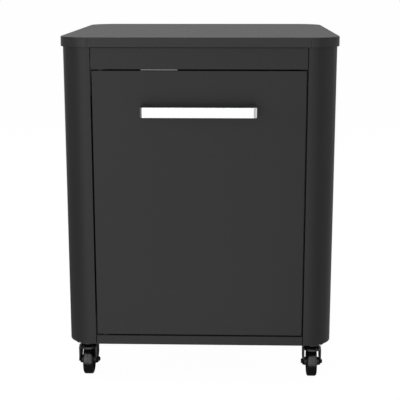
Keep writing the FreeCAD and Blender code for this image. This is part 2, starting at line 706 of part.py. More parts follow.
def door_stop():
    """Angle on the right jamb that the free edge of the door closes against."""
    z0 = OPENING_BOTTOM + STOP_END_GAP
    z1 = OPENING_TOP - STOP_END_GAP
    face = block(OPENING_X - STOP_W, OPENING_X, STOP_Y, STOP_Y + STOP_T, z0, z1)
    leg = block(OPENING_X - STOP_T, OPENING_X, STOP_Y, STOP_Y + STOP_LEG, z0, z1)
    return face.fuse(leg).removeSplitter()


def door_bumpers():
    """Two rubber buttons on the stop."""
    x = OPENING_X - STOP_W + BUMPER_INSET
    buttons = []
    for z in (OPENING_BOTTOM + BUMPER_END, OPENING_TOP - BUMPER_END):
        buttons.append(rod(x, STOP_Y - BUMPER_T, z, BUMPER_R, BUMPER_T, BACK))
    return buttons


def caster_axis(side_x, side_y):
    """Plan position of a caster's swivel axis."""
    return side_x * (BODY_W / 2.0 - CASTER_INSET), side_y * (BODY_D / 2.0 - CASTER_INSET)


def bolt_places(side_x, side_y):
    """Four plate bolts of one caster."""
    x, y = caster_axis(side_x, side_y)
    half = PLATE_BOLT_PITCH / 2.0
    return [(x + dx, y + dy) for dx in (-half, half) for dy in (-half, half)]


def bolt_holes(z0, z1):
    """Clearance holes for every caster bolt between two heights."""
    holes = []
    for _, side_x, side_y in CORNERS:
        for x, y in bolt_places(side_x, side_y):
            holes.append(rod(x, y, z0, BOLT_R + SCREW_HOLE_CLEARANCE, z1 - z0))
    return holes


def corner_plates():
    """Steel pads on the floor pan that spread the casters' load."""
    inset = SHEET + FLOOR_CLEARANCE
    z1 = FLOOR_TOP + CORNER_PLATE_T
    outline = body_outline(inset, FLOOR_TOP, z1)
    x0 = OPENING_X + SHEET + CORNER_PLATE_JAMB_GAP
    y0 = BODY_D / 2.0 - CORNER_PLATE_L
    pads = []
    for _, side_x, side_y in CORNERS:
        pad = outline.common(block(x0, BODY_W / 2.0, y0, BODY_D / 2.0, FLOOR_TOP, z1))
        for x, y in bolt_places(1.0, 1.0):
            pad = pad.cut(rod(x, y, FLOOR_TOP, BOLT_R + SCREW_HOLE_CLEARANCE, CORNER_PLATE_T))
        if side_x < 0:
            pad = pad.mirror(Vector(0, 0, 0), RIGHT)
        if side_y < 0:
            pad = pad.mirror(Vector(0, 0, 0), BACK)
        pads.append(pad)
    return pads


def caster_bolts():
    """Bolts from below through caster plate, floor and pad, with a nut inside."""
    bolts = []
    top = FLOOR_TOP + CORNER_PLATE_T
    for _, side_x, side_y in CORNERS:
        for x, y in bolt_places(side_x, side_y):
            shank_l = top - PLATE_BOTTOM + BOLT_HEAD_T + BOLT_END
            head = hexagon(x, y, PLATE_BOTTOM - BOLT_HEAD_T, BOLT_HEAD_FLATS, BOLT_HEAD_T, UP)
            shank = rod(x, y, PLATE_BOTTOM, BOLT_R, shank_l)
            bolts.append(head.fuse(shank).removeSplitter())
            nut = hexagon(x, y, top, BOLT_HEAD_FLATS, BOLT_HEAD_T, UP)
            bolts.append(nut.cut(rod(x, y, top, BOLT_R, BOLT_HEAD_T)))
    return bolts


def caster_plate(side_x, side_y):
    """Square top plate of a caster."""
    x, y = caster_axis(side_x, side_y)
    half = PLATE_W / 2.0
    plate = rounded_block(x - half, x + half, y - half, y + half, PLATE_BOTTOM, BODY_BOTTOM, PLATE_R)
    plate = plate.cut(rod(x, y, PLATE_BOTTOM, KINGPIN_R, PLATE_T))
    for bolt_x, bolt_y in bolt_places(side_x, side_y):
        plate = plate.cut(rod(bolt_x, bolt_y, PLATE_BOTTOM, BOLT_R + SCREW_HOLE_CLEARANCE, PLATE_T))
    return plate


def caster_race(side_x, side_y):
    """Pressed upper ball race, dished down from the plate."""
    x, y = caster_axis(side_x, side_y)
    height = PLATE_BOTTOM - RACE_BOTTOM
    ring = rod(x, y, RACE_BOTTOM, RACE_R, height)
    lower = [edge for edge in ring.Edges if edge.BoundBox.ZMax < RACE_BOTTOM + TINY]
    return ring.makeFillet(RACE_ROUND, lower).cut(rod(x, y, RACE_BOTTOM, KINGPIN_R, height))


def caster_kingpin(side_x, side_y):
    """Rivet that holds the fork up to the race."""
    x, y = caster_axis(side_x, side_y)
    head_top = FORK_CROWN_Z - RUNNING_FACE_GAP
    shank = rod(x, y, head_top, KINGPIN_R, BODY_BOTTOM - head_top)
    foot = Vector(x, y, head_top - KINGPIN_HEAD_T)
    head = Part.makeCone(KINGPIN_R, KINGPIN_HEAD_R, KINGPIN_HEAD_T, foot)
    return shank.fuse(head).removeSplitter()


def fork_leg(x0, y, back):
    """One leg of a fork: a wide plate that narrows below its shoulders to the axle's eye."""
    axle_y = y + back * CASTER_TRAIL
    top_z = FORK_CROWN_Z + FORK_T
    shoulder_z = WHEEL_R + FORK_SHOULDER_RISE
    front_y = y - back * FORK_NOSE_Y
    rear_y = y + back * FORK_TAIL_Y
    top_front = Vector(x0, front_y, top_z)
    top_rear = Vector(x0, rear_y, top_z)
    shoulder_front = Vector(x0, front_y, shoulder_z)
    shoulder_rear = Vector(x0, rear_y, shoulder_z)
    eye_front = Vector(x0, axle_y - back * FORK_EYE_R, WHEEL_R)
    eye_rear = Vector(x0, axle_y + back * FORK_EYE_R, WHEEL_R)
    eye_low = Vector(x0, axle_y, WHEEL_R - FORK_EYE_R)
    wire = Part.Wire([
        Part.LineSegment(top_front, top_rear).toShape(),
        Part.LineSegment(top_rear, shoulder_rear).toShape(),
        Part.LineSegment(shoulder_rear, eye_rear).toShape(),
        Part.Arc(eye_rear, eye_low, eye_front).toShape(),
        Part.LineSegment(eye_front, shoulder_front).toShape(),
        Part.LineSegment(shoulder_front, top_front).toShape(),
    ])
    return Part.Face(wire).extrude(RIGHT * FORK_T)


def is_fork_bend(edge, x, half_w):
    """True for the outer edges where the fork's crown turns down into its legs."""
    at_top = edge.BoundBox.ZMin > FORK_CROWN_Z + FORK_T - TINY
    return at_top and abs(abs(edge.BoundBox.Center.x - x) - half_w) < TINY


def caster_fork(side_x, side_y):
    """Pressed fork: ball race, crown and two legs, trailing towards the cart's middle."""
    x, y = caster_axis(side_x, side_y)
    back = -side_y
    half_w = FORK_W / 2.0
    rear_y = y + back * FORK_TAIL_Y
    fork = block(x - half_w, x + half_w, min(y, rear_y), max(y, rear_y),
                 FORK_CROWN_Z, FORK_CROWN_Z + FORK_T)
    for x0 in (x - half_w, x + half_w - FORK_T):
        fork = fork.fuse(fork_leg(x0, y, back))
    fork = fork.removeSplitter()
    bends = [edge for edge in edges_along(fork, BACK) if is_fork_bend(edge, x, half_w)]
    fork = fork.makeFillet(FORK_BEND_R, bends)
    dome_z = FORK_CROWN_Z + FORK_RIM_H
    rim = rod(x, y, FORK_CROWN_Z, half_w, FORK_RIM_H)
    dome = Part.makeCone(half_w, FORK_RACE_R, FORK_TOP_Z - dome_z, Vector(x, y, dome_z))
    fork = fork.fuse(rim).fuse(dome).removeSplitter()
    bore = KINGPIN_R + RUNNING_CLEARANCE
    fork = fork.cut(rod(x, y, FORK_CROWN_Z, bore, FORK_TOP_Z - FORK_CROWN_Z))
    axle_y = y + back * CASTER_TRAIL
    return fork.cut(rod(x - half_w, axle_y, WHEEL_R, AXLE_R, FORK_W, RIGHT))


def wheel_centre(side_x, side_y):
    """Centre of a caster's wheel."""
    x, y = caster_axis(side_x, side_y)
    return x, y - side_y * CASTER_TRAIL


def caster_axle(side_x, side_y):
    """Axle bolt through the fork, with its nut."""
    x, y = wheel_centre(side_x, side_y)
    half_w = FORK_W / 2.0
    head = hexagon(x - half_w - AXLE_HEAD_T, y, WHEEL_R, AXLE_HEAD_FLATS, AXLE_HEAD_T, RIGHT)
    shank = rod(x - half_w, y, WHEEL_R, AXLE_R, FORK_W + AXLE_HEAD_T + AXLE_END, RIGHT)
    nut = hexagon(x + half_w, y, WHEEL_R, AXLE_HEAD_FLATS, AXLE_HEAD_T, RIGHT)
    nut = nut.cut(rod(x + half_w, y, WHEEL_R, AXLE_R, AXLE_HEAD_T, RIGHT))
    return [head.fuse(shank).removeSplitter(), nut]


def caster_tyre(side_x, side_y):
    """Soft tread ring with rounded shoulders."""
    x, y = wheel_centre(side_x, side_y)
    ring = rod(x - WHEEL_W / 2.0, y, WHEEL_R, WHEEL_R, WHEEL_W, RIGHT)
    shoulders = [edge for edge in ring.Edges if len(edge.Vertexes) == 1]
    ring = ring.makeFillet(TYRE_SHOULDER_R, shoulders)
    return ring.cut(rod(x - WHEEL_W / 2.0, y, WHEEL_R, WHEEL_R - TYRE_WALL, WHEEL_W, RIGHT))


def caster_hub(side_x, side_y):
    """Moulded wheel centre: rim, thin web and a boss that fills the fork."""
    x, y = wheel_centre(side_x, side_y)
    outer_r = WHEEL_R - TYRE_WALL
    rim = rod(x - HUB_W / 2.0, y, WHEEL_R, outer_r, HUB_W, RIGHT)
    rim = rim.cut(rod(x - HUB_W / 2.0, y, WHEEL_R, outer_r - HUB_RIM_T, HUB_W, RIGHT))
    web = rod(x - HUB_WEB_T / 2.0, y, WHEEL_R, outer_r - HUB_RIM_T / 2.0, HUB_WEB_T, RIGHT)
    boss_half = FORK_INNER - HUB_SIDE_GAP
    boss = rod(x - boss_half, y, WHEEL_R, HUB_BOSS_R, 2.0 * boss_half, RIGHT)
    hub = rim.fuse(web).fuse(boss).removeSplitter()
    bore = AXLE_R + RUNNING_CLEARANCE
    return hub.cut(rod(x - boss_half, y, WHEEL_R, bore, 2.0 * boss_half, RIGHT))


def all_pieces():
    """Every sub-part by name."""
    pieces = {
        "top_panel": top_panel(),
        "top_stiffeners": top_stiffeners(),
        "top_screws": top_screws(),
        "side_panel_left": side_panel(-1.0),
        "side_panel_right": side_panel(1.0),
        "rear_panel": rear_panel(),
        "rear_screws": rear_screws(),
        "hose_grommet": hose_grommet(),
        "floor_pan": floor_pan(),
        "corner_plates": corner_plates(),
        "front_top_rail": front_top_rail(),
        "front_bottom_rail": front_bottom_rail(),
        "shelf": shelf(),
        "shelf_rails": shelf_rails(),
        "hinge_bracket_upper": hinge_bracket(OPENING_TOP, False),
        "hinge_bracket_lower": hinge_bracket(OPENING_BOTTOM, True),
        "hinge_pins": hinge_pins(),
        "door_bushes": door_bushes(),
        "door_outer_panel": door_outer_panel(),
        "door_inner_panel": door_inner_panel(),
        "door_stop": door_stop(),
        "door_bumpers": door_bumpers(),
        "handle": handle(),
        "handle_backer": handle_backer(),
        "handle_screws": handle_screws(),
        "catch_housing": catch_housing(),
        "catch_magnet": magnet_block(),
        "catch_screws": catch_screws(),
        "strike_plate": strike_plate(),
        "caster_bolts": caster_bolts(),
    }
    for corner, side_x, side_y in CORNERS:
        pieces["caster_plate_" + corner] = caster_plate(side_x, side_y)
        pieces["caster_race_" + corner] = caster_race(side_x, side_y)
        pieces["caster_kingpin_" + corner] = caster_kingpin(side_x, side_y)
        pieces["caster_fork_" + corner] = caster_fork(side_x, side_y)
        pieces["caster_axle_" + corner] = caster_axle(side_x, side_y)
        pieces["caster_tyre_" + corner] = caster_tyre(side_x, side_y)
        pieces["caster_hub_" + corner] = caster_hub(side_x, side_y)
    return pieces


def save(name, shape):
    """Write one sub-part, moved into the object's own frame."""
    if isinstance(shape, list):
        shape = Part.makeCompound(shape)
    shape = shape.copy()
    shape.translate(Vector(0, SHIFT_Y, 0))
    shape.exportStep(os.path.join("parts", name + ".step"))


os.makedirs("parts", exist_ok=True)
for piece_name, piece_shape in all_pieces().items():
    save(piece_name, piece_shape)
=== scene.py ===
import math
import bmesh
import bpy
from mathutils import Matrix, Vector


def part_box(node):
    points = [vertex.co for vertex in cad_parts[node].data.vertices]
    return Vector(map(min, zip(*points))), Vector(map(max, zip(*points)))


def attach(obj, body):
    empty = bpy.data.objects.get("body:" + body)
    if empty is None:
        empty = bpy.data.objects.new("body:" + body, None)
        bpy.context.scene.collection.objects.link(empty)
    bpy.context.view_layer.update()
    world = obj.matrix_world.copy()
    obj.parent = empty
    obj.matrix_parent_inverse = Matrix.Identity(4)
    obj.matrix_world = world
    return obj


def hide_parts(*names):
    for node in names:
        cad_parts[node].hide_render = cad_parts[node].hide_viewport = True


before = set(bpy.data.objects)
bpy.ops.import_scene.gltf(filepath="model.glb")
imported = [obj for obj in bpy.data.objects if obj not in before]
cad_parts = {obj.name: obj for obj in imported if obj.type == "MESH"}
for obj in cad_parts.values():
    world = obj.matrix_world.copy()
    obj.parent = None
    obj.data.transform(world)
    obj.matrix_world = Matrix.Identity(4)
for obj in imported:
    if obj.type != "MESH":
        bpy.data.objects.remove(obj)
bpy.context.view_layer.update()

# Floor pan and corner pads: the cabinet stands on a folded steel floor, with a thicker steel pad
# bolted down over each caster to spread its load. All sheets of the cabinet are powder coated dark
# grey: a satin paint with a fine pebbled grain that rolls softly over edges. Inside, the grey is
# painted paler: a painted lift of the shade inside the cabinet.
CABINET_GREY = (0.0135, 0.0135, 0.0138)
INNER_PAINTED_LIFT_GREY = (0.0460, 0.0460, 0.0465)
CABINET_MIDDLE = (0.0, 0.0, 0.46)
INWARD_BLEND = 0.002
# Lengths are in metres. A shade is a factor on the coat's own grey, a share says how much of it shows.
PAINT_GRAIN = 0.0011
PAINT_GRAIN_H = 0.00013
PAINT_GRAIN_SHADES = (0.78, 1.22)
PAINT_PEBBLE = 0.0040
PAINT_PEBBLE_H = 0.00025
PAINT_CLOUD = 0.17
PAINT_CLOUD_SHADE = 1.10
PAINT_CLOUD_SHARE = 0.30
PAINT_ROLL = 0.0010
# The paint's edges are lightened for wear and as a painted sheen.
PAINT_WORN_SHEEN_SHADE = 1.55
PAINT_WORN_SHEEN_SHARE = 0.6
# Nearly all of a noise lies between these two levels.
NOISE_LOW = 0.3
NOISE_HIGH = 0.7
EDGE_SAMPLES = 6
# How far an edge has rolled from its flat face, as a cosine, where its wear and painted sheen are full
# and where there are none, and the part of them that is left in the least worn patches.
WORN_SHEEN_TURN = 0.75
PLAIN_FACE_TURN = 0.995
LEAST_WORN_SHEEN = 0.35


def new_material(name):
    """Empty node material with a Principled shader and its output, ready for a finish."""
    material = bpy.data.materials.new(name)
    material.use_nodes = True
    tree = material.node_tree
    tree.nodes.clear()
    output = tree.nodes.new("ShaderNodeOutputMaterial")
    shader = tree.nodes.new("ShaderNodeBsdfPrincipled")
    tree.links.new(shader.outputs["BSDF"], output.inputs["Surface"])
    return material, tree, shader


def feed(tree, socket, value):
    """Gives a socket a number or a fixed vector, or links it to another node's output."""
    if isinstance(value, bpy.types.NodeSocket):
        tree.links.new(value, socket)
    else:
        socket.default_value = value


def node_math(tree, operation, *values):
    """Result of one math node, fed with numbers or with other nodes' outputs."""
    step = tree.nodes.new("ShaderNodeMath")
    step.operation = operation
    for socket, value in zip(step.inputs, values):
        feed(tree, socket, value)
    return step.outputs[0]


def vector_math(tree, operation, *values):
    """Outputs of one vector math node, fed with fixed vectors or with other nodes' outputs."""
    step = tree.nodes.new("ShaderNodeVectorMath")
    step.operation = operation
    for socket, value in zip(step.inputs, values):
        feed(tree, socket, value)
    return step.outputs


def grain(tree, size, detail=2.0, along=(1.0, 1.0, 1.0)):
    """Noise fixed to the piece, its cells about `size` metres across, drawn out where `along` is small."""
    place = tree.nodes.new("ShaderNodeTexCoord")
    scale = tree.nodes.new("ShaderNodeMapping")
    scale.inputs["Scale"].default_value = along
    noise = tree.nodes.new("ShaderNodeTexNoise")
    noise.inputs["Scale"].default_value = 1.0 / size
    noise.inputs["Detail"].default_value = detail
    tree.links.new(place.outputs["Object"], scale.inputs["Vector"])
    tree.links.new(scale.outputs["Vector"], noise.inputs["Vector"])
    return noise.outputs["Fac"]


def spread(tree, value, low, high, start=NOISE_LOW, end=NOISE_HIGH):
    """A value, as a rule a noise, brought from its own span to one that runs from low to high."""
    span = tree.nodes.new("ShaderNodeMapRange")
    span.inputs["From Min"].default_value = start
    span.inputs["From Max"].default_value = end
    span.inputs["To Min"].default_value = low
    span.inputs["To Max"].default_value = high
    tree.links.new(value, span.inputs["Value"])
    return span.outputs["Result"]


def between(tree, low_colour, high_colour, amount):
    """A colour that goes from one to another with a value from 0 to 1."""
    mix = tree.nodes.new("ShaderNodeMix")
    mix.data_type = "RGBA"
    for place, colour in (("A", low_colour), ("B", high_colour)):
        if isinstance(colour, tuple):
            mix.inputs[place].default_value = [*colour, 1.0]
        else:
            tree.links.new(colour, mix.inputs[place])
    tree.links.new(amount, mix.inputs["Factor"])
    return mix.outputs["Result"]


def shade(colour, share):
    """A colour made lighter or darker by a share."""
    return tuple(share * part for part in colour)


def mottled(tree, colour, shades, patches):
    """A colour that varies with a noise from one shade of itself to another."""
    darker, lighter = shades
    return between(tree, shade(colour, darker), shade(colour, lighter), spread(tree, patches, 0.0, 1.0))


def relief(tree, value, height, below=None):
    """Bump from a noise value, laid over another surface where one is given."""
    bump = tree.nodes.new("ShaderNodeBump")
    bump.inputs["Distance"].default_value = height
    tree.links.new(value, bump.inputs["Height"])
    if below is not None:
        tree.links.new(below, bump.inputs["Normal"])
    return bump.outputs["Normal"]


def rolled_edge(tree, radius):
    """Normals that roll over the edges within a radius, as a coat of paint or a deburred edge does."""
    edge = tree.nodes.new("ShaderNodeBevel")
    edge.samples = EDGE_SAMPLES
    edge.inputs["Radius"].default_value = radius
    return edge.outputs["Normal"]


def edge_wear_and_sheen(tree, rolled, share, patches):
    """From 0 on flat faces to a share on edges, broken up by noise: wear where hands and cloths rub, and a
    painted sheen.
    """
    face = tree.nodes.new("ShaderNodeNewGeometry")
    # Edges are lightened both as wear and as a painted sheen.
    turn = vector_math(tree, "DOT_PRODUCT", face.outputs["Normal"], rolled)["Value"]
    bent = spread(tree, turn, share, 0.0, WORN_SHEEN_TURN, PLAIN_FACE_TURN)
    return node_math(tree, "MULTIPLY", bent, spread(tree, patches, LEAST_WORN_SHEEN, 1.0))


def looks_in(tree, middle):
    """1 on the faces that look towards a point inside the cabinet, painted paler as painted light, 0 on
    those that look away.
    """
    place = tree.nodes.new("ShaderNodeTexCoord")
    outward = vector_math(tree, "SUBTRACT", place.outputs["Object"], middle)["Vector"]
    facing = vector_math(tree, "DOT_PRODUCT", outward, place.outputs["Normal"])["Value"]
    return spread(tree, facing, 1.0, 0.0, -INWARD_BLEND, 0.0)


def powder_coat(name, colour, roughness, specular, middle=None):
    """Baked powder paint: fine pebbled grain, faint clouding, and edges a touch lighter: wear and painted
    sheen.
    """
    material, tree, shader = new_material(name)
    fine = grain(tree, PAINT_GRAIN, detail=3.0)
    pebble = grain(tree, PAINT_PEBBLE)
    cloud = grain(tree, PAINT_CLOUD, detail=3.0)
    rolled = rolled_edge(tree, PAINT_ROLL)
    speckled = mottled(tree, colour, PAINT_GRAIN_SHADES, fine)
    clouded = between(tree, speckled, shade(colour, PAINT_CLOUD_SHADE),
                      spread(tree, cloud, 0.0, PAINT_CLOUD_SHARE))
    # Edges lightened: wear and a painted sheen.
    worn_and_sheened = between(tree, clouded, shade(colour, PAINT_WORN_SHEEN_SHADE),
                     edge_wear_and_sheen(tree, rolled, PAINT_WORN_SHEEN_SHARE, cloud))
    # Faces that look into the cabinet are painted paler, a painted lift of the shade inside it.
    if middle is not None:
        worn_and_sheened = between(tree, worn_and_sheened, INNER_PAINTED_LIFT_GREY, looks_in(tree, middle))
    tree.links.new(worn_and_sheened, shader.inputs["Base Color"])
    tree.links.new(spread(tree, pebble, *roughness), shader.inputs["Roughness"])
    surface = relief(tree, pebble, PAINT_PEBBLE_H, rolled)
    tree.links.new(relief(tree, fine, PAINT_GRAIN_H, surface), shader.inputs["Normal"])
    shader.inputs["Specular IOR Level"].default_value = specular
    return material


def finish_nodes(material, *names):
    """Gives CAD nodes their finish."""
    for name in names:
        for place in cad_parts[name].material_slots:
            place.material = material


cabinet_coat = powder_coat("cabinet_powder_coat", CABINET_GREY, roughness=(0.39, 0.45), specular=0.355,
                           middle=CABINET_MIDDLE)
# The inner grey is painted paler than the cabinet's: painted light that lifts the shade inside.
inner_coat_painted_lift = powder_coat("inner_powder_coat", INNER_PAINTED_LIFT_GREY, roughness=(0.43, 0.49), specular=0.34)
finish_nodes(cabinet_coat, "floor_pan")
finish_nodes(inner_coat_painted_lift, "corner_plates")

# Side sheets and front rails: each side is one steel sheet rolled round the front and rear corner
# and folded back as a door jamb; the fascia above the door and the rail below it are channels
# spot-welded between the jambs. All carry the same dark grey coat.
finish_nodes(cabinet_coat, "side_panel_left", "side_panel_right", "front_top_rail", "front_bottom_rail")

# Rear sheet: one sheet inside the side sheets' rear flanges, folded in at its foot and head, with a
# rounded opening for a gas hose or a cable and a black rubber strip pushed over the opening's edge.
RUBBER_BLACK = (0.012, 0.012, 0.012)
RUBBER_DUST = 0.012
RUBBER_DUST_SHADES = (0.8, 1.35)
RUBBER_SKIN = 0.0009
RUBBER_ROLL = 0.0006


def rubber(name, colour, roughness, specular, skin_height):
    """Moulded rubber: dull, with a fine skin and dusty patches that are paler and rougher."""
    material, tree, shader = new_material(name)
    dust = grain(tree, RUBBER_DUST, detail=4.0)
    skin = grain(tree, RUBBER_SKIN)
    tree.links.new(mottled(tree, colour, RUBBER_DUST_SHADES, dust), shader.inputs["Base Color"])
    tree.links.new(spread(tree, dust, *roughness), shader.inputs["Roughness"])
    rolled = rolled_edge(tree, RUBBER_ROLL)
    tree.links.new(relief(tree, skin, skin_height, rolled), shader.inputs["Normal"])
    shader.inputs["Specular IOR Level"].default_value = specular
    return material


finish_nodes(cabinet_coat, "rear_panel")
soft_black = rubber("soft_rubber", RUBBER_BLACK, roughness=(0.52, 0.66), specular=0.45, skin_height=0.00004)
finish_nodes(soft_black, "hose_grommet")

# Rear screws: twelve black-oxide pan-head screws with a cross recess, driven from behind through
# the side sheets' flanges into the rear sheet. Each stands where its plain solid stands.
SCREW_BLACK = (0.012, 0.012, 0.012)
OXIDE_RUBBED = 0.006
OXIDE_SHADES = (0.75, 1.4)
# Edges lightened for wear and as a painted sheen.
OXIDE_WORN_SHEEN_SHADE = 3.0
OXIDE_WORN_SHEEN_SHARE = 0.5
OXIDE_GRAIN = 0.0007
OXIDE_GRAIN_H = 0.00002
OXIDE_ROLL = 0.0005
SHARP_ANGLE = 30.0
SCREW_HEAD_H = 0.0021
SCREW_SHANK_R = 0.0020
SCREW_HEAD_ROUND = 0.0011
SCREW_CROWN = 0.0003
RECESS_ARM = 0.0021
RECESS_HALF_W = 0.0005
RECESS_DEPTH = 0.0012
RECESS_WALL = 0.0003
SCREW_RINGS = 16
SCREW_STEPS = 48
SCREW_SPREAD = 0.02


def black_oxide(name, colour, roughness, specular=0.5):
    """Blackened steel: dark and half dull, rubbed a little brighter in patches, with wear and painted sheen
    on its edges.
    """
    material, tree, shader = new_material(name)
    patches = grain(tree, OXIDE_RUBBED, detail=4.0)
    fine = grain(tree, OXIDE_GRAIN, detail=3.0)
    rolled = rolled_edge(tree, OXIDE_ROLL)
    patchy = mottled(tree, colour, OXIDE_SHADES, patches)
    worn_and_sheened = between(tree, patchy, shade(colour, OXIDE_WORN_SHEEN_SHADE),
                     edge_wear_and_sheen(tree, rolled, OXIDE_WORN_SHEEN_SHARE, patches))
    tree.links.new(worn_and_sheened, shader.inputs["Base Color"])
    tree.links.new(spread(tree, patches, *roughness), shader.inputs["Roughness"])
    tree.links.new(relief(tree, fine, OXIDE_GRAIN_H, rolled), shader.inputs["Normal"])
    shader.inputs["Specular IOR Level"].default_value = specular
    return material


def smooth_piece(name, corners, faces, material):
    """A closed mesh piece with outward faces, smooth except where it turns sharply."""
    mesh = bpy.data.meshes.new(name)
    shell = bmesh.new()
    placed = [shell.verts.new(corner) for corner in corners]
    for face in faces:
        shell.faces.new([placed[index] for index in face])
    bmesh.ops.recalc_face_normals(shell, faces=shell.faces)
    shell.to_mesh(mesh)
    shell.free()
    mesh.polygons.foreach_set("use_smooth", [True] * len(mesh.polygons))
    mesh.set_sharp_from_angle(angle=math.radians(SHARP_ANGLE))
    mesh.materials.append(material)
    piece = bpy.data.objects.new(name, mesh)
    bpy.context.scene.collection.objects.link(piece)
    return piece


def circle(steps):
    """The cosine and sine of evenly spaced turns, once round."""
    turns = [2.0 * math.pi * step / steps for step in range(steps)]
    return [(math.cos(turn), math.sin(turn)) for turn in turns]


def standing_groups(node, reach):
    """The points of a CAD node that holds several like pieces, sorted piece by piece."""
    groups = []
    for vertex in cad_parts[node].data.vertices:
        for group in groups:
            if (vertex.co - group[0]).length < reach:
                group.append(vertex.co.copy())
                break
        else:
            groups.append([vertex.co.copy()])
    return groups


def head_height(across, up, radius):
    """Height of a pan head's skin over its seat: a low crown, a round rim and a tapered cross."""
    from_middle = math.hypot(across, up)
    height = SCREW_HEAD_H - SCREW_CROWN * (from_middle / radius) ** 2
    over_rim = from_middle - (radius - SCREW_HEAD_ROUND)
    if over_rim > 0.0:
        height -= SCREW_HEAD_ROUND - math.sqrt(max(0.0, SCREW_HEAD_ROUND ** 2 - over_rim ** 2))
    arms = []
    for run, side in ((abs(across), abs(up)), (abs(up), abs(across))):
        inside = min(RECESS_ARM - run, RECESS_HALF_W - side)
        arms.append(min(1.0, max(0.0, inside / RECESS_WALL + 0.5)))
    return height - RECESS_DEPTH * max(arms)


def cross_screws(name, node, material):
    """Pan-head screws that face +Y, one for each screw in a CAD node, as one piece."""
    corners, faces = [], []
    round_points = circle(SCREW_STEPS)
    for group in standing_groups(node, SCREW_SPREAD):
        low = Vector([min(point[axis] for point in group) for axis in range(3)])
        high = Vector([max(point[axis] for point in group) for axis in range(3)])
        middle = (low + high) / 2.0
        radius = (high.x - low.x) / 2.0
        seat = high.y - SCREW_HEAD_H
        first = len(corners)
        corners.append((middle.x, seat + head_height(0.0, 0.0, radius), middle.z))
        for ring in range(1, SCREW_RINGS + 1):
            reach = radius * ring / SCREW_RINGS
            for cosine, sine in round_points:
                across, up = reach * cosine, reach * sine
                corners.append((middle.x + across, seat + head_height(across, up, radius), middle.z + up))
        lower_rings = ((radius, seat), (SCREW_SHANK_R, seat), (SCREW_SHANK_R, low.y))
        for reach, depth in lower_rings:
            for cosine, sine in round_points:
                corners.append((middle.x + reach * cosine, depth, middle.z + reach * sine))
        bands = SCREW_RINGS + len(lower_rings) - 1
        for step in range(SCREW_STEPS):
            beside = (step + 1) % SCREW_STEPS
            faces.append((first, first + 1 + step, first + 1 + beside))
            for band in range(bands):
                inner = first + 1 + band * SCREW_STEPS
                outer = inner + SCREW_STEPS
                faces.append((inner + step, outer + step, outer + beside, inner + beside))
        last = first + 1 + bands * SCREW_STEPS
        faces.append(tuple(last + step for step in range(SCREW_STEPS)))
    return smooth_piece(name, corners, faces, material)


screw_black = black_oxide("black_screw", SCREW_BLACK, roughness=(0.29, 0.45))
rear_heads = cross_screws("rear_pan_heads", "rear_screws", screw_black)
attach(rear_heads, "cabinet")
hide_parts("rear_screws")

# Shelf and its rails: one shelf with folded edges rests on two angle rails spot-welded to the
# sides. The owner sees them only with the door open; their coat is duller, and painted paler as a
# painted lift of the shade inside the cabinet.
finish_nodes(inner_coat_painted_lift, "shelf", "shelf_rails")

# Worktop: a folded steel pan with pressed round corners, a deep rim and a lip turned in below, made
# stiff by two hat sections and held by zinc-plated screws through the side sheets' upper flanges.
# It is wiped down often, so its coat is the hardest and finest of all.
WORKTOP_GREY = (0.0160, 0.0160, 0.0163)
PLATED_STEEL = (0.64, 0.65, 0.66)
ZINC_BLOOM = 0.003
ZINC_BLOOM_H = 0.00002
ZINC_SHADES = (0.74, 1.0)
# Edges brightened for wear and as a painted sheen.
ZINC_WORN_SHEEN_SHADE = 1.25
ZINC_WORN_SHEEN_SHARE = 0.7
ZINC_ROUGHNESS = (0.24, 0.40)
ZINC_ROLL = 0.0004


def zinc_plate(name, colour):
    """Zinc plate with a faint crystalline bloom, brighter on its edges with wear and painted sheen."""
    material, tree, shader = new_material(name)
    bloom = grain(tree, ZINC_BLOOM, detail=4.0)
    rolled = rolled_edge(tree, ZINC_ROLL)
    plated = mottled(tree, colour, ZINC_SHADES, bloom)
    worn_and_sheened = between(tree, plated, shade(colour, ZINC_WORN_SHEEN_SHADE),
                     edge_wear_and_sheen(tree, rolled, ZINC_WORN_SHEEN_SHARE, bloom))
    tree.links.new(worn_and_sheened, shader.inputs["Base Color"])
    tree.links.new(spread(tree, bloom, *ZINC_ROUGHNESS), shader.inputs["Roughness"])
    tree.links.new(relief(tree, bloom, ZINC_BLOOM_H, rolled), shader.inputs["Normal"])
    shader.inputs["Metallic"].default_value = 1.0
    return material


worktop_coat = powder_coat("worktop_powder_coat", WORKTOP_GREY, roughness=(0.41, 0.47), specular=0.40)
bright_zinc = zinc_plate("zinc_plated_steel", PLATED_STEEL)
finish_nodes(worktop_coat, "top_panel")
# The stiffeners carry the paler inner grey, painted light for the shade under the worktop.
finish_nodes(inner_coat_painted_lift, "top_stiffeners")
finish_nodes(bright_zinc, "top_screws")

# Door: a folded tray flush with the columns, closed behind by a flat sheet. It shuts on a stop angle
# with two rubber buttons, fixed inside the right jamb.
finish_nodes(cabinet_coat, "door_outer_panel")
# The door's inner sheet and stop carry the paler inner grey, painted light for the shade inside.
finish_nodes(inner_coat_painted_lift, "door_inner_panel", "door_stop")
finish_nodes(soft_black, "door_bumpers")

# Hinges: a blackened steel bracket at each left corner of the doorway carries an oiled steel pin, its
# plate painted darker as painted shade in the hinge gap, and the door turns on it in a flanged nylon bush.
BRACKET_BLACK = (0.006, 0.006, 0.006)
# The pins' zinc plate is painted darker: painted shade for the hinge gap they sit in.
PIN_PAINTED_SHADE = 0.3
NYLON_BLACK = (0.014, 0.014, 0.014)
MOULD_SPARK = 0.0006
MOULD_SPARK_H = 0.00003
MOULD_FLOW = 0.02
MOULD_FLOW_SHADES = (0.88, 1.15)
MOULD_ROLL = 0.0005


